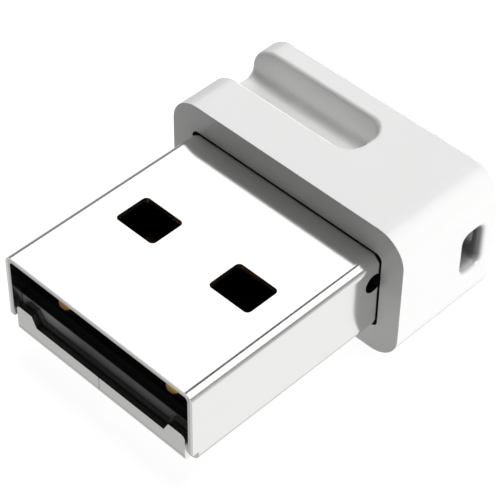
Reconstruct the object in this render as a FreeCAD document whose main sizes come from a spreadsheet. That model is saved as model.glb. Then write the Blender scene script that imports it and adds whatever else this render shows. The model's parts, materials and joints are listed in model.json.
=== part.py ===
import FreeCAD, Part
import math
import os

import Sketcher

# Nano USB stick: a bare USB A plug with a short moulded cap, and a radio board from one into the other.
# Frame: X to the right, Y towards the back of the cap, Z up, millimetres. The origin is on the plug's axis,
# in the plane of the cap's flat front face. The plug points along -Y and its contacts face up.

DIMENSIONS = {
    # folded shell of the plug
    "plug_width": 12.0,
    "plug_height": 4.5,
    "plug_reach": 11.75,
    "plug_tail": 1.8,
    "sheet": 0.3,
    "shell_bend": 0.5,
    "seam_gap": 0.03,
    "lock_reach": 0.8,
    "lock_neck": 0.9,
    "lock_flare": 0.2,
    "front_lock": -8.7,
    "rear_lock": -2.6,
    # windows in the top and bottom walls, measured from the plug's front
    "window_width": 2.5,
    "window_length": 2.0,
    "window_spread": 3.0,
    "window_set_back": 5.05,
    "window_corner": 0.25,
    # latch hole in each side wall, ahead of the cap and above the axis
    "latch_hole": 1.04,
    "latch_ahead": 0.38,
    "latch_rise": 0.86,
    # lip folded up across the bottom of the mouth, heights from the bottom of the plug
    "lip_half": 5.5,
    "lip_end_height": 1.55,
    "lip_mid_height": 0.97,
    "lip_step_outer": 4.47,
    "lip_step_inner": 4.17,
    "lip_corner": 0.25,
    "lip_bend": 0.12,
    "relief_length": 0.35,
    "relief_height": 0.7,
    # snap barbs and ground legs at the back of the shell
    "barb_front": 0.6,
    "barb_length": 0.9,
    "barb_stand": 0.3,
    "barb_height": 1.6,
    "leg_length": 1.2,
    "leg_low": -0.9,
    "leg_high": 0.3,
    # cap
    "cap_width": 14.7,
    "cap_height": 7.72,
    "cap_depth": 6.75,
    "cap_corner": 1.6,
    "cap_back_round": 0.35,
    "cap_gap": 0.07,
    "mouth_corner": 0.38,
    "barb_clearance": 0.1,
    "groove_width": 2.6,
    "groove_centre": 4.05,
    "groove_end": 1.52,
    "groove_end_round": 1.05,
    "groove_depth": 2.05,
    "groove_floor_round": 0.5,
    "groove_lip_round": 0.2,
    # lanyard eye: a pocket in the right side, and its way out through the back, round the corner post
    "eye_front": 4.45,
    "eye_back": 5.6,
    "eye_low": -0.98,
    "eye_high": 1.21,
    "eye_inside": 5.0,
    "eye_corner": 0.28,
    "eye_lip": 0.42,
    "exit_inside": 5.5,
    "exit_low": -0.3,
    "exit_high": 0.75,
    "exit_corner": 0.25,
    "exit_lip": 0.13,
    "post_width": 0.58,
    # board space inside the cap
    "space_half": 6.1,
    "space_low": -2.4,
    "space_high": 1.0,
    "space_step": 3.4,
    "space_back": 5.9,
    "space_right": 4.1,
    "rib_overlap": 0.25,
    # moulded contact carrier
    "carrier_half": 5.67,
    "carrier_low": -1.95,
    "carrier_high": 1.94,
    "carrier_corner": 0.24,
    "tongue_set_back": 0.52,
    "tongue_top": -0.25,
    "nose_drop": 0.2,
    "nose_run": 0.38,
    "ledge_depth": 0.19,
    "ledge_mid": -1.12,
    "ledge_end": -0.56,
    "ledge_step_inner": 4.05,
    "ledge_step_outer": 4.45,
    "ledge_end_inner": 5.12,
    "ledge_edge": -1.09,
    "block_front": -2.75,
    "block_back": -1.95,
    "arm_width": 0.55,
    "arm_back": 0.6,
    "socket_depth": 0.45,
    "slot_clearance": 0.02,
    # contacts
    "contact_width": 1.0,
    "contact_thickness": 0.25,
    "contact_inner": 1.0,
    "contact_outer": 3.5,
    "power_set_back": 1.05,
    "data_set_back": 2.05,
    "contact_back": -0.95,
    "tip_corner": 0.42,
    "tip_run": 0.5,
    "tip_drop": 0.22,
    # solder fillets behind the contacts and inside the ground legs
    "solder_run": 0.4,
    "solder_rise": 0.22,
    "leg_solder_run": 0.6,
    "leg_solder_rise": 0.45,
    "leg_solder_width": 0.8,
    # circuit board
    "board_thickness": 0.8,
    "board_half": 5.5,
    "board_front": -1.9,
    "board_back": 5.75,
    "board_notch_side": 3.9,
    "board_notch_front": 3.2,
    "board_corner": 0.3,
    # controller chip
    "chip_side": 4.0,
    "chip_height": 0.65,
    "chip_x": -0.6,
    "chip_y": 1.6,
    "lead_height": 0.2,
    "lead_width": 0.25,
    "lead_length": 0.4,
    "lead_show": 0.03,
    "lead_pitch": 0.5,
    "pad_side": 2.6,
    "mark_radius": 0.2,
    "mark_inset": 0.6,
    "mark_depth": 0.05,
    # clock crystal
    "crystal_length": 2.5,
    "crystal_width": 2.0,
    "crystal_base_height": 0.35,
    "crystal_lid_height": 0.2,
    "crystal_rim": 0.15,
    "crystal_x": 3.5,
    "crystal_y": 1.0,
    # printed antenna
    "trace_width": 0.3,
    "trace_height": 0.05,
    "antenna_left": -4.9,
    "antenna_front": 4.15,
    "antenna_depth": 1.3,
    "antenna_pitch": 1.7,
    "antenna_feed": 0.3,
}

# Chip parts: length, width, height, and how long each tinned end is.
SMALL_CHIP = (1.0, 0.5, 0.5, 0.25)
FLAT_CHIP = (1.0, 0.5, 0.35, 0.25)
BULK_CHIP = (1.6, 0.8, 0.8, 0.3)
COIL_CHIP = (2.0, 1.6, 0.8, 0.35)

doc = FreeCAD.newDocument("usb_adapter")
sheet = doc.addObject("Spreadsheet::Sheet", "dims")
for row, (alias, number) in enumerate(DIMENSIONS.items(), start=1):
    sheet.set("A%d" % row, alias)
    sheet.set("B%d" % row, str(number))
    sheet.setAlias("B%d" % row, alias)
doc.recompute()


def size(alias):
    """A driving dimension as a number, for choosing edges."""
    return float(sheet.get(alias))


def near(first, second):
    return abs(first - second) < 1e-4


def new_body(name):
    body = doc.addObject("PartDesign::Body", name)
    body.Label = name
    return body


def origin_plane(body, role):
    return next(part for part in body.Origin.OriginFeatures if part.Role == role)


def outline(body, name, role, corners, level="0"):
    """Closed outline on one of the body's origin planes, with each corner bound to the sheet."""
    sketch = body.newObject("Sketcher::SketchObject", name)
    sketch.AttachmentSupport = [(origin_plane(body, role), "")]
    sketch.MapMode = "FlatFace"
    sketch.setExpression("AttachmentOffset.Base.z", level)
    count = len(corners)
    turns = [2 * math.pi * step / count for step in range(count + 1)]
    start = [FreeCAD.Vector(math.cos(turn), math.sin(turn), 0) for turn in turns]
    for step in range(count):
        sketch.addGeometry(Part.LineSegment(start[step], start[step + 1]))
    for step in range(count):
        sketch.addConstraint(Sketcher.Constraint("Coincident", step, 2, (step + 1) % count, 1))
    for step, corner in enumerate(corners):
        for kind, text in zip(("DistanceX", "DistanceY"), corner):
            index = sketch.addConstraint(Sketcher.Constraint(kind, -1, 1, step, 1, 0.5))
            sketch.setExpression("Constraints[%d]" % index, text)
    return sketch


def mirrored_outline(body, name, role, right_side, level="0"):
    """Outline that is symmetric about the vertical axis, from its right-hand corners, bottom to top."""
    left_side = [("-(" + across + ")", up) for across, up in reversed(right_side)]
    return outline(body, name, role, right_side + left_side, level)


def extrude(body, sketch, length, kind="Pad", backwards=False):
    feature = body.newObject("PartDesign::" + kind, sketch.Name + "_" + kind.lower())
    feature.Profile = sketch
    feature.setExpression("Length", length)
    feature.Reversed = backwards
    doc.recompute()
    return feature


def block(body, kind, name, low, high):
    """AdditiveBox or SubtractiveBox between two corners."""
    box = body.newObject("PartDesign::" + kind, name)
    for axis, side, start, end in zip("xyz", ("Length", "Width", "Height"), low, high):
        box.setExpression("Placement.Base." + axis, start)
        box.setExpression(side, "(" + end + ") - (" + start + ")")
    doc.recompute()
    return box


def rod(body, kind, name, radius, start, length, along_x=False):
    """AdditiveCylinder or SubtractiveCylinder that runs up, or to the right."""
    cylinder = body.newObject("PartDesign::" + kind, name)
    if along_x:
        turn = FreeCAD.Rotation(FreeCAD.Vector(0, 1, 0), 90)
        cylinder.Placement = FreeCAD.Placement(FreeCAD.Vector(), turn)
    for axis, text in zip("xyz", start):
        cylinder.setExpression("Placement.Base." + axis, text)
    cylinder.setExpression("Radius", radius)
    cylinder.setExpression("Height", length)
    doc.recompute()
    return cylinder


def mirror(body, features):
    """The same features on the left side."""
    copy = body.newObject("PartDesign::Mirrored", features[-1].Name + "_left")
    copy.Originals = features
    copy.MirrorPlane = (origin_plane(body, "YZ_Plane"), [""])
    body.Tip = copy
    doc.recompute()
    return copy


def round_edges(body, name, radius, wanted):
    """Fillet on the edges of the body's last feature that the test wants."""
    base = body.Tip
    edges = ["Edge%d" % number for number, edge in enumerate(base.Shape.Edges, start=1) if wanted(edge)]
    fillet = body.newObject("PartDesign::Fillet", name)
    fillet.Base = (base, edges)
    fillet.setExpression("Radius", radius)
    doc.recompute()
    return fillet


def runs_along(edge, axis):
    """Whether a straight edge runs along X, Y or Z."""
    box = edge.BoundBox
    spans = {"x": box.XLength, "y": box.YLength, "z": box.ZLength}
    return spans.pop(axis) > 1e-4 and max(spans.values()) < 1e-4


def lies_in(edge, low, high):
    """Whether an edge lies in the box between two corners."""
    box = edge.BoundBox
    starts = (box.XMin, box.YMin, box.ZMin)
    ends = (box.XMax, box.YMax, box.ZMax)
    return (all(start > limit - 1e-4 for start, limit in zip(starts, low))
            and all(end < limit + 1e-4 for end, limit in zip(ends, high)))


def make_shell():
    body = new_body("plug_shell")
    half_width = "dims.plug_width / 2"
    half_height = "dims.plug_height / 2"
    front = "-dims.plug_reach"
    whole = "dims.plug_reach + dims.plug_tail"

    # tube
    corners = [(half_width, "-" + half_height), (half_width, half_height)]
    tube = mirrored_outline(body, "tube", "XZ_Plane", corners, "dims.plug_reach")
    extrude(body, tube, whole, backwards=True)
    round_edges(body, "outer_bends", "dims.shell_bend", lambda edge: runs_along(edge, "y"))
    inner = "(dims.plug_width / 2 - dims.sheet)"
    block(body, "SubtractiveBox", "bore",
          ("-" + inner, front + " - 1", "-" + half_height + " + dims.sheet"),
          (inner, "dims.plug_tail + 1", half_height + " - dims.sheet"))
    inner_side = size("plug_width") / 2 - size("sheet")
    round_edges(body, "inner_bends", "dims.shell_bend - dims.sheet",
                lambda edge: runs_along(edge, "y") and near(abs(edge.BoundBox.XMin), inner_side))

    # front lip with raised ends, and the relief that lets it fold
    low = "-" + half_height
    end_top = low + " + dims.lip_end_height"
    mid_top = low + " + dims.lip_mid_height"
    corners = [("dims.lip_half", low), ("dims.lip_half", end_top), ("dims.lip_step_outer", end_top),
               ("dims.lip_step_inner", mid_top)]
    lip = mirrored_outline(body, "lip", "XZ_Plane", corners, "dims.plug_reach")
    extrude(body, lip, "dims.sheet", backwards=True)
    relief = block(body, "SubtractiveBox", "relief",
                   ("dims.lip_half", front + " - 1", low + " - 1"),
                   (half_width + " + 1", front + " + dims.relief_length", low + " + dims.relief_height"))
    mirror(body, [relief])
    lip_top = -size("plug_height") / 2 + size("lip_end_height")
    round_edges(body, "lip_corners", "dims.lip_corner",
                lambda edge: runs_along(edge, "y") and near(edge.BoundBox.ZMin, lip_top)
                and near(abs(edge.BoundBox.XMin), size("lip_half")))

    # windows through the top and bottom walls
    window_front = front + " + dims.window_set_back"
    window = block(body, "SubtractiveBox", "window",
                   ("dims.window_spread - dims.window_width / 2", window_front, low + " - 1"),
                   ("dims.window_spread + dims.window_width / 2", window_front + " + dims.window_length",
                    half_height + " + 1"))
    mirror(body, [window])
    window_front_y = size("window_set_back") - size("plug_reach")
    window_back_y = window_front_y + size("window_length")
    round_edges(body, "window_corners", "dims.window_corner",
                lambda edge: runs_along(edge, "z") and near(edge.Length, size("sheet"))
                and (near(edge.BoundBox.YMin, window_front_y) or near(edge.BoundBox.YMin, window_back_y)))

    # latch holes through both side walls
    rod(body, "SubtractiveCylinder", "latch_holes", "dims.latch_hole / 2",
        ("-dims.plug_width", "-dims.latch_ahead", "dims.latch_rise"), "2 * dims.plug_width", along_x=True)

    # seam down the bottom, with two dovetail locks
    block(body, "SubtractiveBox", "seam",
          ("-dims.seam_gap / 2", front + " - 1", low + " - 1"),
          ("dims.seam_gap / 2", "dims.plug_tail + 1", low + " + dims.lip_end_height"))
    for lock in ("front_lock", "rear_lock"):
        make_lock(body, lock)

    # snap barbs and ground legs
    corners = [(half_width, "dims.barb_front"), (half_width + " + dims.barb_stand", "dims.barb_front"),
               (half_width, "dims.barb_front + dims.barb_length")]
    barb = outline(body, "barb", "XY_Plane", corners, "-dims.barb_height / 2")
    barb_pad = extrude(body, barb, "dims.barb_height")
    mirror(body, [barb_pad])
    leg = block(body, "AdditiveBox", "leg",
                (half_width + " - dims.sheet", "dims.plug_tail", "dims.leg_low"),
                (half_width, "dims.plug_tail + dims.leg_length", "dims.leg_high"))
    mirror(body, [leg])
    round_edges(body, "lip_bend", "dims.lip_bend",
                lambda edge: runs_along(edge, "x") and near(edge.BoundBox.YMin, -size("plug_reach"))
                and near(edge.BoundBox.ZMin, -size("plug_height") / 2))
    return body


def make_lock(body, centre):
    """Dovetail on the right half of the bottom wall, in a pocket one seam gap bigger in the left half."""
    for name, gap, kind in (("pocket", "dims.seam_gap", "Pocket"), ("tail", "0", "Pad")):
        neck = "(dims.lock_neck / 2 + " + gap + ")"
        flare = "(dims.lock_neck / 2 + dims.lock_flare + " + gap + ")"
        tip = "-dims.lock_reach - " + gap
        root = "dims.seam_gap" if kind == "Pad" else "0"
        corners = [(root, "dims." + centre + " - " + neck), (root, "dims." + centre + " + " + neck),
                   (tip, "dims." + centre + " + " + flare), (tip, "dims." + centre + " - " + flare)]
        sketch = outline(body, centre + "_" + name, "XY_Plane", corners, "-dims.plug_height / 2")
        extrude(body, sketch, "dims.sheet", kind, backwards=(kind == "Pocket"))


def make_cap():
    body = new_body("cap")
    half_width = "dims.cap_width / 2"
    half_height = "dims.cap_height / 2"
    groove_floor = half_height + " - dims.groove_depth"
    groove_half = "dims.groove_width / 2"

    corners = [(half_width, "-" + half_height), (half_width, half_height)]
    shape = mirrored_outline(body, "cap_front", "XZ_Plane", corners)
    extrude(body, shape, "dims.cap_depth", backwards=True)
    round_edges(body, "cap_corners", "dims.cap_corner", lambda edge: runs_along(edge, "y"))
    round_edges(body, "cap_back", "dims.cap_back_round",
                lambda edge: near(edge.BoundBox.YMin, size("cap_depth")))

    # finger groove, open at the left side and rounded at its inner end
    block(body, "SubtractiveBox", "groove",
          ("-" + half_width + " - 1", "dims.groove_centre - " + groove_half, groove_floor),
          ("dims.groove_end", "dims.groove_centre + " + groove_half, half_height + " + 1"))
    round_edges(body, "groove_end_rounds", "dims.groove_end_round",
                lambda edge: runs_along(edge, "z") and near(edge.BoundBox.XMin, size("groove_end")))
    floor = size("cap_height") / 2 - size("groove_depth")
    left = -size("cap_width") / 2
    round_edges(body, "groove_floor_rounds", "dims.groove_floor_round",
                lambda edge: near(edge.BoundBox.ZMin, floor) and near(edge.BoundBox.ZMax, floor)
                and edge.BoundBox.XMax > left + 0.1)
    groove_walls = [size("groove_centre") - size("groove_width") / 2,
                    size("groove_centre") + size("groove_width") / 2]

    def on_groove_lip(edge):
        box = edge.BoundBox
        round_end = (near(box.ZMin, size("cap_height") / 2) and box.YLength > 1
                     and box.YMax < size("cap_depth") - 1)
        wall = any(near(box.YMin, side) and near(box.YMax, side) for side in groove_walls)
        return (round_end or wall) and box.ZMax > floor + size("groove_floor_round") + 0.01
    round_edges(body, "groove_lips", "dims.groove_lip_round", on_groove_lip)

    # mouth that takes the shell, with a pocket for each barb
    mouth_side = "(dims.plug_width / 2 + dims.cap_gap)"
    mouth_top = "(dims.plug_height / 2 + dims.cap_gap)"
    block(body, "SubtractiveBox", "mouth",
          ("-" + mouth_side, "-1", "-" + mouth_top),
          (mouth_side, "dims.plug_tail + 0.1", mouth_top))
    round_edges(body, "mouth_corners", "dims.mouth_corner",
                lambda edge: runs_along(edge, "y")
                and near(abs(edge.BoundBox.XMin), size("plug_width") / 2 + size("cap_gap")))
    pocket = block(body, "SubtractiveBox", "barb_pocket",
                   (mouth_side + " - 0.1", "dims.barb_front - dims.barb_clearance",
                    "-dims.barb_height / 2 - dims.barb_clearance"),
                   ("dims.plug_width / 2 + dims.barb_stand + dims.barb_clearance / 2",
                    "dims.barb_front + dims.barb_length + dims.barb_clearance",
                    "dims.barb_height / 2 + dims.barb_clearance"))
    mirror(body, [pocket])

    # board space, with ribs that hold the board above and below
    block(body, "SubtractiveBox", "space",
          ("-dims.space_half", "dims.plug_tail", "dims.space_low"),
          ("dims.space_half", "dims.space_step", "dims.space_high"))
    block(body, "SubtractiveBox", "rear_space",
          ("-dims.space_half", "dims.space_step - 0.1", "dims.space_low"),
          ("dims.space_right", "dims.space_back", "dims.space_high"))
    for side, start, end in (("left", "-dims.space_half", "-dims.board_half + dims.rib_overlap"),
                             ("right", "dims.board_notch_side - dims.rib_overlap", "dims.space_right")):
        block(body, "AdditiveBox", side + "_lower_rib",
              (start, "dims.space_step + 0.1", "dims.space_low"),
              (end, "dims.space_back", "dims.tongue_top - dims.board_thickness"))
        block(body, "AdditiveBox", side + "_upper_rib",
              (start, "dims.space_step + 0.1", "dims.tongue_top"),
              (end, "dims.space_back", "dims.space_high"))

    # lanyard eye: in at the right side, round the corner post, out at the back
    side = size("cap_width") / 2
    back = size("cap_depth")
    block(body, "SubtractiveBox", "eye",
          ("dims.eye_inside", "dims.eye_front", "dims.eye_low"),
          (half_width + " + 1", "dims.eye_back", "dims.eye_high"))

    def in_eye(edge):
        return lies_in(edge, (size("eye_inside"), size("eye_front"), size("eye_low")),
                       (side, size("eye_back"), size("eye_high")))
    round_edges(body, "eye_corners", "dims.eye_corner",
                lambda edge: in_eye(edge) and not near(edge.BoundBox.XMin, side))
    round_edges(body, "eye_lips", "dims.eye_lip",
                lambda edge: in_eye(edge) and near(edge.BoundBox.XMin, side))
    block(body, "SubtractiveBox", "exit",
          ("dims.exit_inside", "dims.eye_back - 0.2", "dims.exit_low"),
          (half_width + " - dims.post_width", "dims.cap_depth + 1", "dims.exit_high"))

    def in_exit(edge):
        return lies_in(edge, (size("exit_inside"), size("eye_back"), size("exit_low")),
                       (side - size("post_width"), back, size("exit_high")))
    round_edges(body, "exit_corners", "dims.exit_corner",
                lambda edge: in_exit(edge) and runs_along(edge, "y"))
    round_edges(body, "exit_lips", "dims.exit_lip",
                lambda edge: in_exit(edge) and near(edge.BoundBox.YMin, edge.BoundBox.YMax))
    return body


def make_carrier():
    body = new_body("contact_carrier")
    nose = "-dims.plug_reach + dims.tongue_set_back"
    half = "dims.carrier_half"
    low = "dims.carrier_low"
    corners = [(nose, low), (nose, "dims.tongue_top - dims.nose_drop"),
               (nose + " + dims.nose_run", "dims.tongue_top"), ("dims.block_front", "dims.tongue_top"),
               ("dims.block_front", "dims.carrier_high"), ("dims.block_back", "dims.carrier_high"),
               ("dims.block_back", low)]
    side = outline(body, "carrier_side", "YZ_Plane", corners, "-" + half)
    extrude(body, side, "2 * " + half)

    # ledge behind the shell's front lip, stepped like the lip
    corners = [(half, low), (half, "dims.ledge_edge"), ("dims.ledge_end_inner", "dims.ledge_end"),
               ("dims.ledge_step_outer", "dims.ledge_end"), ("dims.ledge_step_inner", "dims.ledge_mid")]
    ledge = mirrored_outline(body, "ledge", "XZ_Plane", corners,
                             "dims.plug_reach - dims.tongue_set_back + dims.ledge_depth")
    extrude(body, ledge, "dims.ledge_depth", backwards=True)

    # slots that let the contacts through the rear block
    for name, centre in CONTACTS.items():
        reach = "(dims.contact_width / 2 + dims.slot_clearance)"
        block(body, "SubtractiveBox", name + "_slot",
              (centre + " - " + reach, "dims.block_front - 0.1", "dims.tongue_top"),
              (centre + " + " + reach, "dims.block_back + 0.1",
               "dims.tongue_top + dims.contact_thickness + dims.slot_clearance"))

    # arms above the board's edges and rails below them, and a blind socket behind each latch hole
    inside = half + " - dims.arm_width"
    arm = block(body, "AdditiveBox", "arm", (inside, "dims.block_back - 0.1", "dims.tongue_top"),
                (half, "dims.arm_back", "dims.carrier_high"))
    rail = block(body, "AdditiveBox", "rail", (inside, "dims.block_back - 0.1", low),
                 (half, "dims.arm_back", "dims.tongue_top - dims.board_thickness"))
    mirror(body, [arm, rail])
    socket = rod(body, "SubtractiveCylinder", "socket", "dims.latch_hole / 2",
                 (half + " - dims.socket_depth", "-dims.latch_ahead", "dims.latch_rise"),
                 "dims.socket_depth + 0.1", along_x=True)
    mirror(body, [socket])
    levels = [size("carrier_low"), size("carrier_high")]
    round_edges(body, "carrier_corners", "dims.carrier_corner",
                lambda edge: runs_along(edge, "y") and near(abs(edge.BoundBox.XMin), size("carrier_half"))
                and any(near(edge.BoundBox.ZMin, level) for level in levels))
    return body


# Contact centres across the plug. With the contacts up, ground is on the left as seen from the mouth.
CONTACTS = {
    "contact_ground": "-dims.contact_outer",
    "contact_data_plus": "-dims.contact_inner",
    "contact_data_minus": "dims.contact_inner",
    "contact_vbus": "dims.contact_outer",
}


def make_contact(name, centre):
    """Flat blade with a rounded tip, lying on the tongue and running back to its pad on the board."""
    body = new_body(name)
    set_back = "dims.data_set_back" if "data" in name else "dims.power_set_back"
    tip = "-dims.plug_reach + " + set_back
    top = "dims.tongue_top + dims.contact_thickness"
    block(body, "AdditiveBox", name + "_blade",
          (centre + " - dims.contact_width / 2", tip, "dims.tongue_top"),
          (centre + " + dims.contact_width / 2", "dims.contact_back", top))
    front = size("data_set_back" if "data" in name else "power_set_back") - size("plug_reach")
    round_edges(body, name + "_tip_sides", "dims.tip_corner",
                lambda edge: runs_along(edge, "z") and near(edge.BoundBox.YMin, front))
    curve = [("%s + dims.tip_run * (1 - cos(%d deg))" % (tip, turn),
              "%s - dims.tip_drop * (1 - sin(%d deg))" % (top, turn)) for turn in (90, 60, 30, 0)]
    corners = curve + [(tip + " - 0.1", curve[-1][1]), (tip + " - 0.1", top + " + 0.1"),
                       (curve[0][0], top + " + 0.1")]
    above = outline(body, name + "_above_tip", "YZ_Plane", corners, centre + " - dims.contact_width")
    extrude(body, above, "2 * dims.contact_width", "Pocket", backwards=True)
    return body


def make_board():
    body = new_body("circuit_board")
    corners = [("-dims.board_half", "dims.board_front"), ("dims.board_half", "dims.board_front"),
               ("dims.board_half", "dims.board_notch_front"),
               ("dims.board_notch_side", "dims.board_notch_front"),
               ("dims.board_notch_side", "dims.board_back"), ("-dims.board_half", "dims.board_back")]
    shape = outline(body, "board_outline", "XY_Plane", corners, "dims.tongue_top - dims.board_thickness")
    extrude(body, shape, "dims.board_thickness")
    round_edges(body, "board_corners", "dims.board_corner", lambda edge: runs_along(edge, "z"))
    return body


def make_antenna():
    """Printed meander along the board's far end, fed at its left end."""
    body = new_body("printed_antenna")
    left = "dims.antenna_left"
    front = "dims.antenna_front"
    back = "(dims.antenna_front + dims.antenna_depth)"
    half_pitch = "dims.antenna_pitch / 2"
    width = "dims.trace_width"
    corners = [(left, front), (left + " + " + width, front), (left + " + " + width, back + " - " + width),
               (left + " + " + half_pitch, back + " - " + width), (left + " + " + half_pitch, front),
               (left + " + dims.antenna_pitch", front),
               (left + " + dims.antenna_pitch", front + " + " + width),
               (left + " + " + half_pitch + " + " + width, front + " + " + width),
               (left + " + " + half_pitch + " + " + width, back), (left, back)]
    cell = outline(body, "meander", "XY_Plane", corners, "dims.tongue_top")
    cell_pad = extrude(body, cell, "dims.trace_height")
    row = body.newObject("PartDesign::LinearPattern", "meander_row")
    row.Originals = [cell_pad]
    row.Direction = (next(part for part in body.Origin.OriginFeatures if part.Role == "X_Axis"), [""])
    row.Occurrences = 5
    row.setExpression("Length", "dims.antenna_pitch * 4")
    body.Tip = row
    doc.recompute()
    block(body, "AdditiveBox", "feed", (left, front + " - dims.antenna_feed", "dims.tongue_top"),
          (left + " + " + width, front + " + 0.1", "dims.tongue_top + dims.trace_height"))
    return body


def make_chip():
    """Leadless package: the moulded body, and under it the terminals and the heat pad."""
    body = new_body("wifi_chip")
    half = "dims.chip_side / 2"
    base = "dims.tongue_top + dims.lead_height"
    block(body, "AdditiveBox", "package",
          ("dims.chip_x - " + half, "dims.chip_y - " + half, base),
          ("dims.chip_x + " + half, "dims.chip_y + " + half, base + " + dims.chip_height"))
    rod(body, "SubtractiveCylinder", "first_pin_mark", "dims.mark_radius",
        ("dims.chip_x - " + half + " + dims.mark_inset", "dims.chip_y - " + half + " + dims.mark_inset",
         base + " + dims.chip_height - dims.mark_depth"), "1")

    places = []
    for step in range(-3, 4):
        along = "%d * dims.lead_pitch" % step
        for side in (-1, 1):
            out = "%d * (dims.chip_side / 2 - dims.lead_length / 2 + dims.lead_show)" % side
            places.append((out, along, "dims.lead_length", "dims.lead_width"))
            places.append((along, out, "dims.lead_width", "dims.lead_length"))
    places.append(("0", "0", "dims.pad_side", "dims.pad_side"))
    leads = []
    for across, back, length, width in places:
        spot = ("dims.chip_x + " + across, "dims.chip_y + " + back, "dims.tongue_top")
        leads.append(loose_box("lead", spot, (length, width, "dims.lead_height")))
    return [body, group("wifi_chip_leads", leads)]


def make_crystal():
    base = new_body("crystal_base")
    lid = new_body("crystal_lid")
    level = "dims.tongue_top"
    for body, rim, height in ((base, "0", "dims.crystal_base_height"),
                              (lid, "dims.crystal_rim", "dims.crystal_lid_height")):
        block(body, "AdditiveBox", body.Name + "_block",
              ("dims.crystal_x - dims.crystal_length / 2 + " + rim,
               "dims.crystal_y - dims.crystal_width / 2 + " + rim, level),
              ("dims.crystal_x + dims.crystal_length / 2 - " + rim,
               "dims.crystal_y + dims.crystal_width / 2 - " + rim, level + " + " + height))
        round_edges(body, body.Name + "_corners", "dims.crystal_rim", lambda edge: runs_along(edge, "z"))
        level = "dims.tongue_top + dims.crystal_base_height"
    return [base, lid]


def loose_box(name, centre, lengths):
    """Part box that stands on the given level, centred on the given point."""
    box = doc.addObject("Part::Box", name)
    for side, text in zip(("Length", "Width", "Height"), lengths):
        box.setExpression(side, text)
    box.setExpression("Placement.Base.x", centre[0] + " - (" + lengths[0] + ") / 2")
    box.setExpression("Placement.Base.y", centre[1] + " - (" + lengths[1] + ") / 2")
    box.setExpression("Placement.Base.z", centre[2])
    return box


def group(name, members):
    compound = doc.addObject("Part::Compound", name)
    compound.Label = name
    compound.Links = members
    doc.recompute()
    return compound


def chip_parts(name, kind, places, terminals):
    """Chip parts of one kind, at places (x, y, turned, under the board). Terminals gets the tinned ends."""
    length, width, height, end = kind
    bodies = []
    for across, back, turned, under in places:
        level = "dims.tongue_top"
        if under:
            level += " - dims.board_thickness - %g" % height
        shift = (length - end) / 2
        for offset, span, members in ((0, length - 2 * end, bodies), (-shift, end, terminals),
                                      (shift, end, terminals)):
            spot = (across, back + offset) if turned else (across + offset, back)
            plan = (width, span) if turned else (span, width)
            members.append(loose_box(name + "_piece", ("%g" % spot[0], "%g" % spot[1], level),
                                     ("%g" % plan[0], "%g" % plan[1], "%g" % height)))
    return group(name, bodies)


def make_chip_parts():
    terminals = []
    groups = [
        chip_parts("decoupling_capacitors", SMALL_CHIP,
                   [(-4.1, row, False, False) for row in (-0.2, 0.8, 1.8, 2.8)]
                   + [(0.9 + step, 1.9, True, True) for step in (0, 1, 2)], terminals),
        chip_parts("crystal_capacitors", SMALL_CHIP,
                   [(2.9, 2.6, False, False), (4.2, 2.6, False, False)], terminals),
        chip_parts("antenna_matching_parts", FLAT_CHIP,
                   [(-3.25, 3.6, False, False), (-4.6, 3.6, False, False)], terminals),
        chip_parts("bulk_capacitors", BULK_CHIP,
                   [(-4.1, 0.4, True, True), (0.3, 0.1, True, True)], terminals),
        chip_parts("power_inductor", COIL_CHIP, [(-2.1, 0.4, False, True)], terminals),
        chip_parts("resistors", FLAT_CHIP,
                   [(2.0, 0.2, True, True), (3.0, 0.2, True, True), (4.0, 0.2, True, True)], terminals),
        chip_parts("surge_protector", BULK_CHIP[:2] + (0.55, 0.25), [(2.6, -1.2, False, True)], terminals),
    ]
    return groups + [group("component_terminals", terminals)]


def wedge(name, role, corners, level, width):
    """Solder fillet: a three-sided section on one of the origin planes, drawn out to its width."""
    body = new_body(name)
    section = outline(body, name + "_section", role, corners, level)
    extrude(body, section, width)
    return body


def make_solder():
    tail = "dims.contact_back"
    top = "dims.tongue_top"
    corners = [(tail, top), (tail + " + dims.solder_run", top), (tail, top + " + dims.solder_rise")]
    contact_joints = [wedge(name + "_solder", "YZ_Plane", corners, centre + " - dims.contact_width / 2",
                            "dims.contact_width")
                      for name, centre in CONTACTS.items()]
    leg_inside = "(dims.plug_width / 2 - dims.sheet)"
    level = "-(dims.plug_tail + dims.leg_length / 2 + dims.leg_solder_width / 2)"
    leg_joints = []
    for name, sign in (("left", "-"), ("right", "")):
        corners = [(sign + leg_inside, top), (sign + leg_inside, top + " + dims.leg_solder_rise"),
                   (sign + "(" + leg_inside + " - dims.leg_solder_run)", top)]
        leg_joints.append(wedge(name + "_leg_solder", "XZ_Plane", corners, level, "dims.leg_solder_width"))
    return [group("contact_solder", contact_joints), group("ground_solder", leg_joints)]


nodes = [make_cap(), make_shell(), make_carrier()]
nodes += [make_contact(name, centre) for name, centre in CONTACTS.items()]
nodes += [make_board(), make_antenna()]
nodes += make_chip() + make_crystal() + make_chip_parts() + make_solder()
doc.recompute()

for item in doc.Objects:
    if "Invalid" in item.State or "Error" in item.State:
        raise RuntimeError("%s did not recompute: %s" % (item.Name, item.State))
os.makedirs("parts", exist_ok=True)
for node in nodes:
    if node.Shape.isNull() or not node.Shape.isValid() or not node.Shape.Solids:
        raise RuntimeError("%s has no valid solid" % node.Label)
    node.Shape.exportStep(os.path.join("parts", node.Label + ".step"))
    print("%-24s %3d solids %9.3f mm3" % (node.Label, len(node.Shape.Solids), node.Shape.Volume))
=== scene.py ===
import json
import math

import bpy
from mathutils import Matrix, Vector


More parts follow.
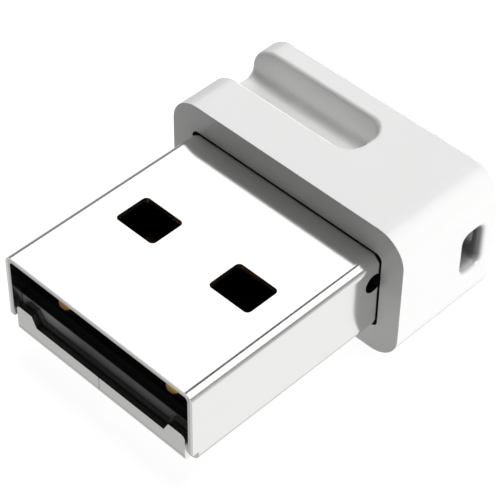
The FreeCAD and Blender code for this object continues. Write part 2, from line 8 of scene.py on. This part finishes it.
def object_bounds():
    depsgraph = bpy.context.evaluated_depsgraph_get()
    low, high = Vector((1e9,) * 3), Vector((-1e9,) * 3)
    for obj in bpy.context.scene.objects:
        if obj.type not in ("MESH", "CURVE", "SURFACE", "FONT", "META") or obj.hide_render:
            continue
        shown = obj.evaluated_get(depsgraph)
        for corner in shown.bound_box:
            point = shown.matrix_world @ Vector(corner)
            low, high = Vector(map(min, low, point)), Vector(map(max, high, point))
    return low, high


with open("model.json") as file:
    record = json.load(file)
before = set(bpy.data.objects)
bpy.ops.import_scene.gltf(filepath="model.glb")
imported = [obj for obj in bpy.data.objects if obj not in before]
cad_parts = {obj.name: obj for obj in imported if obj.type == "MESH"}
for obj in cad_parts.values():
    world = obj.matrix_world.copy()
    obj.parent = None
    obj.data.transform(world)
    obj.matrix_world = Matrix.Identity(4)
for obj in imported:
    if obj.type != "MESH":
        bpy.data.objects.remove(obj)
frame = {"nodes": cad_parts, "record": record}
CAD_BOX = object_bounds()
MM = 0.001

# The cap rests on the floor and the plug is level, clear of it.
FLOOR_Z = CAD_BOX[0].z

# Where things lie on the part, in millimetres from the plug's axis and the cap's front face.
PLUG_FRONT = CAD_BOX[0].y / MM
CAP_BACK = CAD_BOX[1].y / MM
CAP_SIDE = CAD_BOX[1].x / MM
# How far past a face a limit is put, so that the face is clearly on one side of it.
HAIR = 0.01

# the plug's shell, its front lip and its windows
PLUG_SIDE = 6.0
PLUG_TOP = 2.25
SHEET = 0.3
LIP_HEIGHT = -0.6
BEHIND_LIP = PLUG_FRONT + 0.75
OUTSIDE_WINDOWS = 5.0

# the ledge, the tongue's front end, the contacts on the tongue and where their painted shade deepens, and
# where the light painted on the tongue's front face is brightest and dimmest
LEDGE_BACK = PLUG_FRONT + 0.45
NOSE_BACK = PLUG_FRONT + 0.55
TIPS_BACK = PLUG_FRONT + 1.15
DEEP_INSIDE = PLUG_FRONT + 2.15
PAINTED_LIGHT_BRIGHTEST = -5.2
PAINTED_LIGHT_DIMMEST = -1.5

# the cap's mouth round the plug, where shade is painted into the cap's colour
MOUTH_SIDE = 6.075
MOUTH_TOP = 2.325
MOUTH_BACK = 1.9

# the lanyard eye and the corner post that it passes behind, bounding the shade painted in the eye
EYE_FRONT = 4.0
EYE_REAR = CAP_BACK - HAIR
EYE_INSIDE = 4.9
EYE_HALF_HEIGHT = 1.7
EYE_RIM = 0.15
POST_SIDE = 6.92
POST_FRONT = 6.1


# ------------------------------------------------------------------ materials


def add_node(tree, kind, inputs=None, output=0, **options):
    """Adds a node to a tree, sets or links its inputs, and returns one of its outputs."""
    made = tree.nodes.new(kind)
    for option, value in options.items():
        setattr(made, option, value)
    for socket, value in (inputs or {}).items():
        if isinstance(value, bpy.types.NodeSocket):
            tree.links.new(value, made.inputs[socket])
        else:
            made.inputs[socket].default_value = value
    return made.outputs[output]


class Surface:
    """One procedural material on the Principled shader, with patterns laid out in millimetres."""

    def __init__(self, name, **sockets):
        self.material = bpy.data.materials.new(name)
        self.material.use_nodes = True
        self.tree = self.material.node_tree
        self.shader = self.tree.nodes["Principled BSDF"]
        for socket, value in sockets.items():
            self.shader.inputs[socket.replace("_", " ")].default_value = value
        self.place = self.tree.nodes.new("ShaderNodeTexCoord")
        self.millimetres = self.vector("MULTIPLY", self.place.outputs["Object"], (1 / MM,) * 3)

    def node(self, kind, inputs=None, output=0, **options):
        return add_node(self.tree, kind, inputs, output, **options)

    def vector(self, operation, a, b):
        return self.node("ShaderNodeVectorMath", {0: a, 1: b}, operation=operation)

    def noise(self, size, detail=2.0, stretch=(1, 1, 1)):
        """Noise from 0 to 1 whose lumps are about size mm across, longer where stretch is over 1."""
        scale = tuple(1 / (size * s) for s in stretch)
        place = self.vector("MULTIPLY", self.millimetres, scale)
        inputs = {"Vector": place, "Scale": 1.0, "Detail": detail}
        return self.node("ShaderNodeTexNoise", inputs, output="Fac")

    def waves(self, direction, scale, wobble):
        """Wobbly bands from 0 to 1, set out along one direction."""
        inputs = {"Vector": self.millimetres, "Scale": scale, "Distortion": wobble}
        return self.node("ShaderNodeTexWave", inputs, output="Fac", bands_direction=direction)

    def remap(self, value, low, high, start=0.0, end=1.0):
        """Maps value from start..end to low..high, held at the ends."""
        return self.node("ShaderNodeMapRange", {0: value, 1: start, 2: end, 3: low, 4: high})

    def maths(self, operation, a, b=0.0):
        return self.node("ShaderNodeMath", {0: a, 1: b}, operation=operation)

    def mix(self, factor, a, b):
        """Mixes two colours, a where factor is 0 and b where it is 1."""
        return self.node("ShaderNodeMix", {0: factor, 6: a, 7: b}, output=2, data_type="RGBA")

    def axis(self, name):
        """How far the surface is from the middle along X, Y or Z, in millimetres, with its sign."""
        return self.node("ShaderNodeSeparateXYZ", {0: self.millimetres}, output=name)

    def off_axis(self, name):
        """The same without its sign."""
        return self.maths("ABSOLUTE", self.axis(name))

    def slope(self, name):
        """How far the surface faces along X, Y or Z: 1 straight along it, -1 straight against it."""
        return self.node("ShaderNodeSeparateXYZ", {0: self.place.outputs["Normal"]}, output=name)

    def level(self):
        """1 on faces that look up or down, 0 on upright ones."""
        return self.over(self.maths("ABSOLUTE", self.slope("Z")), 0.5)

    def over(self, value, limit):
        return self.maths("GREATER_THAN", value, limit)

    def under(self, value, limit):
        return self.maths("LESS_THAN", value, limit)

    def both(self, *masks):
        """1 where every mask is 1."""
        product = masks[0]
        for mask in masks[1:]:
            product = self.maths("MULTIPLY", product, mask)
        return product

    def bump(self, *layers):
        """Adds relief: each layer is a height pattern and its depth in mm at full height."""
        normal = None
        for height, depth in layers:
            inputs = {"Height": height, "Distance": depth * MM, "Strength": 1.0}
            if normal is not None:
                inputs["Normal"] = normal
            normal = self.node("ShaderNodeBump", inputs)
        self.link("Normal", normal)

    def link(self, socket, value):
        self.tree.links.new(value, self.shader.inputs[socket])


def grey(value):
    return (value, value, value, 1)


def moulded_white():
    """Gloss white moulding with a fine grain, and painted shade: nearly black in the plug's mouth, grey
    inside the eye.
    """
    s = Surface("cap_moulded_white", IOR=1.5)
    in_mouth = s.both(s.under(s.off_axis("X"), MOUTH_SIDE), s.under(s.off_axis("Z"), MOUTH_TOP),
                      s.over(s.axis("Y"), HAIR), s.under(s.axis("Y"), MOUTH_BACK))
    near_eye = s.both(s.over(s.axis("Y"), EYE_FRONT), s.under(s.axis("Y"), EYE_REAR),
                      s.under(s.off_axis("Z"), EYE_HALF_HEIGHT), s.over(s.axis("X"), EYE_INSIDE))
    on_post = s.both(s.over(s.axis("X"), POST_SIDE), s.over(s.axis("Y"), POST_FRONT))
    below_rim = s.remap(s.axis("X"), 1.0, 0.0, CAP_SIDE - EYE_RIM, CAP_SIDE - 2 * HAIR)
    in_eye = s.both(near_eye, s.maths("SUBTRACT", 1.0, on_post), below_rim)
    white = s.mix(s.noise(2.5), (0.87, 0.87, 0.865, 1), (0.89, 0.89, 0.885, 1))
    # Painted shade: grey inside the lanyard eye, lighter on faces that look up.
    painted_eye_shade = s.mix(s.remap(s.slope("Z"), 0.0, 1.0), grey(0.25), grey(0.56))
    shaded = s.mix(in_eye, white, painted_eye_shade)
    # Painted shade: inside the plug's mouth the cap's colour is nearly black.
    s.link("Base Color", s.mix(in_mouth, shaded, grey(0.04)))
    gloss = s.remap(s.noise(0.8, 4), 0.15, 0.22)
    s.link("Roughness", s.maths("ADD", gloss, s.maths("MULTIPLY", in_mouth, 0.4)))
    s.bump((s.noise(0.06, 3), 0.0004), (s.noise(3.0), 0.003))
    return s.material


def nickel_plate():
    """Bright nickel with fine drawing lines, bare metal on the windows' cut edges, a painted highlight and
    painted shade on the front cut edge, and painted shade on the lip's top inside the plug.
    """
    s = Surface("plug_nickel_plate", Metallic=1.0)
    front = s.under(s.axis("Y"), PLUG_FRONT + HAIR)
    from_side = s.maths("SUBTRACT", PLUG_SIDE, s.off_axis("X"))
    from_top = s.maths("SUBTRACT", PLUG_TOP, s.off_axis("Z"))
    deep = s.maths("MINIMUM", from_side, from_top)
    inner_side = PLUG_SIDE - SHEET
    inner_top = PLUG_TOP - SHEET
    edge_painted_highlight = s.both(front, s.under(deep, SHEET / 2))
    edge_painted_shade = s.both(front, s.over(deep, SHEET / 2), s.under(deep, SHEET + HAIR))
    within_sheet = s.both(s.over(s.off_axis("Z"), inner_top + HAIR / 2),
                          s.under(s.off_axis("Z"), PLUG_TOP - 2 * HAIR))
    punched = s.both(within_sheet, s.under(s.off_axis("X"), OUTSIDE_WINDOWS),
                     s.over(s.axis("Y"), BEHIND_LIP))
    lip_top = s.both(s.under(s.axis("Y"), PLUG_FRONT + SHEET + HAIR), s.over(s.slope("Z"), 0.4),
                     s.under(s.axis("Z"), LIP_HEIGHT))
    inside = s.both(s.under(s.off_axis("X"), inner_side + HAIR), s.under(s.off_axis("Z"), inner_top + HAIR),
                    s.over(s.axis("Y"), PLUG_FRONT + HAIR))
    plate = s.mix(s.noise(3.0), (0.77, 0.765, 0.75, 1), (0.81, 0.805, 0.79, 1))
    # Painted highlight on the outer half of the front cut edge, painted shade on its inner half.
    plate = s.mix(edge_painted_highlight, plate, (0.97, 0.965, 0.95, 1))
    plate = s.mix(edge_painted_shade, plate, (0.68, 0.675, 0.66, 1))
    bare = s.mix(s.noise(0.12, 3, (1, 1, 4)), (0.6, 0.46, 0.36, 1), (0.74, 0.6, 0.5, 1))
    # Painted shade: the lip's top face inside the plug is dark grey, not bright nickel.
    dull = s.mix(s.noise(0.1, 3), (0.12, 0.12, 0.12, 1), (0.2, 0.195, 0.19, 1))
    s.link("Base Color", s.mix(lip_top, s.mix(punched, plate, bare), dull))
    rough = s.remap(s.noise(0.25, 5, (1, 6, 1)), 0.1, 0.15)
    for mask, more in ((punched, 0.1), (inside, 0.07), (lip_top, 0.3)):
        rough = s.maths("ADD", rough, s.maths("MULTIPLY", mask, more))
    s.link("Roughness", rough)
    s.bump((s.noise(3.0, 1), 0.003))
    return s.material


def black_resin():
    """Satin black resin, with light painted on as grey: on the tongue's front face, lighter towards its
    left end, and on the ledge before it.
    """
    s = Surface("carrier_black_resin", Specular_IOR_Level=0.2)
    forward = s.under(s.axis("Y"), NOSE_BACK)
    face = s.both(forward, s.over(s.axis("Y"), LEDGE_BACK), s.under(s.slope("Y"), -0.7))
    black = s.mix(s.noise(0.15, 4), (0.007, 0.007, 0.007, 1), (0.014, 0.013, 0.013, 1))
    # Painted light: grey on the tongue's front face of black resin, lighter towards its left end.
    face_painted_light = s.mix(s.noise(0.12, 4), (0.19, 0.19, 0.195, 1), (0.28, 0.28, 0.28, 1))
    to_the_left = s.remap(s.axis("X"), 1.0, 0.0, PAINTED_LIGHT_BRIGHTEST, PAINTED_LIGHT_DIMMEST)
    face_painted_light = s.mix(to_the_left, face_painted_light, grey(0.75))
    facing_front = s.remap(s.slope("Y"), 1.0, 0.0, -1.0, 0.0)
    # Painted light: grey on the ledge before the face, darker where it faces forward.
    ledge = s.mix(facing_front, grey(0.21), grey(0.09))
    s.link("Base Color", s.mix(forward, black, s.mix(face, ledge, face_painted_light)))
    satin = s.remap(s.noise(0.3, 3), 0.25, 0.33)
    s.link("Roughness", s.maths("ADD", satin, s.maths("MULTIPLY", forward, 0.3)))
    s.bump((s.noise(0.05, 3), 0.0005))
    return s.material


def gold_plate():
    """Gold plating with fine lines along the blades, with painted shade that turns it dark brown deep in
    the plug.
    """
    s = Surface("contact_gold_plate", Metallic=1.0)
    bright = s.mix(s.noise(0.6), (0.95, 0.5, 0.13, 1), (1.0, 0.57, 0.17, 1))
    # Painted shade: the gold turns dark brown deeper in the plug.
    dull = s.remap(s.axis("Y"), 0.0, 1.0, TIPS_BACK, DEEP_INSIDE)
    s.link("Base Color", s.mix(dull, bright, (0.3, 0.18, 0.08, 1)))
    s.link("Roughness", s.remap(s.noise(0.1, 3, (1, 8, 1)), 0.26, 0.36))
    s.bump((s.noise(0.08, 3, (1, 5, 1)), 0.0008))
    return s.material


def solder_mask():
    """Green lacquer over copper tracks, with glass-fibre layers showing on the board's cut edges."""
    s = Surface("board_solder_mask", Coat_Weight=0.4, Coat_Roughness=0.15)
    across = s.waves("X", 0.7, 1.5)
    along = s.waves("Y", 0.9, 1.2)
    region = s.over(s.noise(1.6, 1), 0.5)
    wave = s.node("ShaderNodeMix", {0: region, 2: across, 3: along})
    tracks = s.remap(wave, 0.0, 1.0, 0.62, 0.7)
    lacquer = s.mix(tracks, (0.012, 0.085, 0.035, 1), (0.03, 0.19, 0.075, 1))
    layers = s.noise(0.09, 2, (12, 12, 1))
    fibre = s.mix(layers, (0.42, 0.36, 0.18, 1), (0.62, 0.56, 0.34, 1))
    s.link("Base Color", s.mix(s.level(), fibre, lacquer))
    s.link("Roughness", s.remap(s.noise(0.3, 3), 0.3, 0.45))
    s.bump((tracks, 0.02), (s.noise(0.1, 3), 0.002))
    return s.material


def bare_copper():
    """Printed copper, a little tarnished."""
    s = Surface("antenna_copper", Metallic=1.0)
    tarnish = s.remap(s.noise(0.5, 4), 0.0, 1.0, 0.45, 0.7)
    s.link("Base Color", s.mix(tarnish, (0.86, 0.5, 0.3, 1), (0.6, 0.33, 0.19, 1)))
    s.link("Roughness", s.remap(tarnish, 0.25, 0.45))
    s.bump((s.noise(0.06, 3), 0.001))
    return s.material


def epoxy():
    """Moulded chip package, matt and finely grained."""
    s = Surface("chip_epoxy")
    s.link("Base Color", s.mix(s.noise(0.05, 4), (0.035, 0.035, 0.038, 1), (0.065, 0.065, 0.07, 1)))
    s.link("Roughness", s.remap(s.noise(0.2, 3), 0.45, 0.62))
    s.bump((s.noise(0.03, 3), 0.002))
    return s.material


def tinned():
    """Solder and tin, with dull patches and soft lumps."""
    s = Surface("solder_and_tin", Metallic=1.0)
    dull = s.noise(0.18, 4)
    s.link("Base Color", s.mix(dull, (0.8, 0.8, 0.78, 1), (0.58, 0.58, 0.57, 1)))
    s.link("Roughness", s.remap(dull, 0.2, 0.48))
    s.bump((s.noise(0.15, 2), 0.01))
    return s.material


def ceramic(name, dark, light, grain):
    """Fired ceramic or ferrite: speckled, matt and slightly rough."""
    s = Surface(name)
    s.link("Base Color", s.mix(s.noise(grain, 5), dark, light))
    s.link("Roughness", s.remap(s.noise(grain * 3, 2), 0.5, 0.7))
    s.bump((s.noise(grain, 3), 0.003))
    return s.material


def crystal_can():
    """Rolled metal lid with straight rolling lines."""
    s = Surface("crystal_lid_metal", Metallic=1.0)
    lines = s.noise(0.03, 4, (20, 1, 1))
    s.link("Base Color", s.mix(lines, (0.62, 0.59, 0.52, 1), (0.78, 0.75, 0.68, 1)))
    s.link("Roughness", s.remap(lines, 0.22, 0.4))
    s.bump((lines, 0.0008))
    return s.material


def resistor_body():
    """White alumina with a black glaze on its broad faces."""
    s = Surface("resistor_body")
    glaze = s.mix(s.noise(0.1, 3), (0.012, 0.012, 0.014, 1), (0.03, 0.03, 0.033, 1))
    alumina = s.mix(s.noise(0.04, 4), (0.62, 0.61, 0.58, 1), (0.76, 0.75, 0.72, 1))
    s.link("Base Color", s.mix(s.level(), alumina, glaze))
    s.link("Roughness", s.remap(s.level(), 0.65, 0.3))
    s.bump((s.noise(0.05, 3), 0.002))
    return s.material


MATERIALS = {
    "cap": moulded_white(),
    "plug_shell": nickel_plate(),
    "contact_carrier": black_resin(),
    "contacts": gold_plate(),
    "circuit_board": solder_mask(),
    "printed_antenna": bare_copper(),
    "wifi_chip": epoxy(),
    "solder_and_tin": tinned(),
    "crystal_base": ceramic("crystal_ceramic", (0.24, 0.2, 0.15, 1), (0.42, 0.36, 0.28, 1), 0.05),
    "crystal_lid": crystal_can(),
    "capacitors": ceramic("capacitor_ceramic", (0.36, 0.24, 0.13, 1), (0.52, 0.38, 0.24, 1), 0.04),
    "coils": ceramic("coil_ferrite", (0.12, 0.12, 0.13, 1), (0.24, 0.24, 0.26, 1), 0.06),
    "resistors": resistor_body(),
}
slot_of = {part["node"]: part["material_slot"] for part in frame["record"]["subparts"]}
for name, node in frame["nodes"].items():
    node.data.materials.clear()
    node.data.materials.append(MATERIALS[slot_of[name]])


# ------------------------------------------------------------ floor and lights

BACK_RIGHT = (0.7, 0.7, 0)
BACK_LEFT = (-0.7, 0.7, 0)
TABLE_DARK, TABLE_BRIGHT = 0.57, 1.06
ROOM_DARK, ROOM_BRIGHT = 0.05, 0.28
# The plug's long bends mirror an arc round the plug's axis.
# Its radius, and how far behind the part it lies, are for a distance of 1.
ARC_RADIUS, ARC_BACK = 0.86, 0.51


def floor():
    """A pale floor that catches a faint shadow and is seen by the camera only.

    Reflections and bounced light come from the studio's own tone instead.
    """
    reach = 3.0
    mesh = bpy.data.meshes.new("floor")
    corners = [(x * reach, y * reach, FLOOR_Z) for x, y in ((-1, -1), (1, -1), (1, 1), (-1, 1))]
    mesh.from_pydata(corners, [], [(0, 1, 2, 3)])
    made = bpy.data.objects.new("floor", mesh)
    bpy.context.scene.collection.objects.link(made)
    s = Surface(
        "floor_pale",
        Roughness=0.9,
        Base_Color=grey(0.25),
        Specular_IOR_Level=0.0,
        Emission_Color=grey(1.0),
        Emission_Strength=0.9,
    )
    mesh.materials.append(s.material)
    made.visible_diffuse = False
    made.visible_glossy = False
    made.visible_shadow = False


def placed(first, second, away, place):
    """The matrix of something at place, with its own X, Y and Z along first, second and away."""
    matrix = Matrix((first, second, away)).transposed().to_4x4()
    matrix.translation = place
    return matrix


def softbox(name, place, across, size, glow):
    """A rectangular light at place, in metres, that faces the part with its first side along across."""
    data = bpy.data.lights.new(name, "AREA")
    data.shape = "RECTANGLE"
    data.size, data.size_y = size
    data.energy = glow * math.pi * size[0] * size[1]
    made = bpy.data.objects.new(name, data)
    bpy.context.scene.collection.objects.link(made)
    away = Vector(place).normalized()
    first = Vector(across)
    first = (first - away * first.dot(away)).normalized()
    made.matrix_world = placed(first, away.cross(first), away, place)


def toward(tree, direction, heading, start, end, dim, bright):
    """Brightness that grows smoothly from dim to bright as the direction turns towards a heading."""
    along = add_node(tree, "ShaderNodeVectorMath", {0: direction, 1: heading}, output="Value",
                     operation="DOT_PRODUCT")
    return add_node(tree, "ShaderNodeMapRange", {0: along, 1: start, 2: end, 3: dim, 4: bright},
                    interpolation_type="SMOOTHSTEP")


def studio_world():
    """The room's own tone: dim overhead, and below the horizon a table.

    The table is brighter to the right and behind, and dimmer towards the horizon.
    """
    world = bpy.data.worlds.new("studio")
    world.use_nodes = True
    tree = world.node_tree
    direction = tree.nodes.new("ShaderNodeTexCoord").outputs["Generated"]
    near = toward(tree, direction, (0, 0, -1), 0.0, 0.45, 0.5, 1.0)
    table = toward(tree, direction, BACK_RIGHT, 0.25, 0.65, TABLE_DARK, TABLE_BRIGHT)
    table = add_node(tree, "ShaderNodeMath", {0: table, 1: near}, operation="MULTIPLY")
    room = toward(tree, direction, BACK_LEFT, 0.4, 0.95, ROOM_DARK, ROOM_BRIGHT)
    above = toward(tree, direction, (0, 0, 1), -0.04, 0.06, 0.0, 1.0)
    tone = add_node(tree, "ShaderNodeMix", {0: above, 2: table, 3: room})
    tree.nodes["Background"].inputs["Color"].default_value = grey(1.0)
    tree.links.new(tone, tree.nodes["Background"].inputs["Strength"])
    bpy.context.scene.world = world


def around(turn, distance):
    """A point on the arc, turned to the right from straight up by so many degrees."""
    turn = math.radians(turn)
    radius = distance * ARC_RADIUS
    return (radius * math.sin(turn), distance * ARC_BACK, radius * math.cos(turn))


def along_arc(turn):
    """The direction in which that point moves as its turn grows."""
    turn = math.radians(turn)
    return (math.cos(turn), 0, -math.sin(turn))


floor()
studio_world()
for name, turn, distance, size, glow in (
    ("left", -40, 0.5, (0.34, 0.2), 1.32),
    ("right", 31, 0.45, (0.46, 0.13), 1.4),
    ("horizon", 75, 0.45, (0.21, 0.2), 0.3),
):
    softbox(name, around(turn, distance), along_arc(turn), size, glow)
softbox("overhead", (-0.01, 0.09, 0.5), (1, 0, 0), (0.4, 0.16), 8.0)
softbox("side", (0.45, 0.075, 0.05), (0, 1, 0), (0.15, 0.16), 17.0)
softbox("rear", (-0.21, 0.44, 0.075), (1, 0.5, 0), (0.2, 0.16), 3.0)
bpy.context.scene.view_settings.view_transform = "Standard"


# --------------------------------------------------------------------- camera

AZIMUTH = math.radians(43.988)
ELEVATION = math.radians(45.026)
ROLL = math.radians(0.887)
DISTANCE = 92.892 * MM
TARGET = Vector((-0.009, -2.196, 0)) * MM
LENS = 144.29
SENSOR_WIDTH = 36


def aim_camera():
    """Puts the camera at its distance from the target, looking at it from the azimuth and elevation."""
    level = math.cos(ELEVATION)
    back = Vector((math.sin(AZIMUTH) * level, -math.cos(AZIMUTH) * level, math.sin(ELEVATION)))
    flat_right = Vector((math.cos(AZIMUTH), math.sin(AZIMUTH), 0))
    flat_up = back.cross(flat_right)
    right = flat_right * math.cos(ROLL) + flat_up * math.sin(ROLL)
    up = flat_up * math.cos(ROLL) - flat_right * math.sin(ROLL)
    lens = bpy.data.cameras.new("camera")
    lens.lens = LENS
    lens.sensor_width = SENSOR_WIDTH
    lens.clip_start = 0.005
    lens.clip_end = 10
    camera = bpy.data.objects.new("camera", lens)
    camera.matrix_world = placed(right, up, back, TARGET + back * DISTANCE)
    bpy.context.scene.collection.objects.link(camera)
    bpy.context.scene.camera = camera


aim_camera()
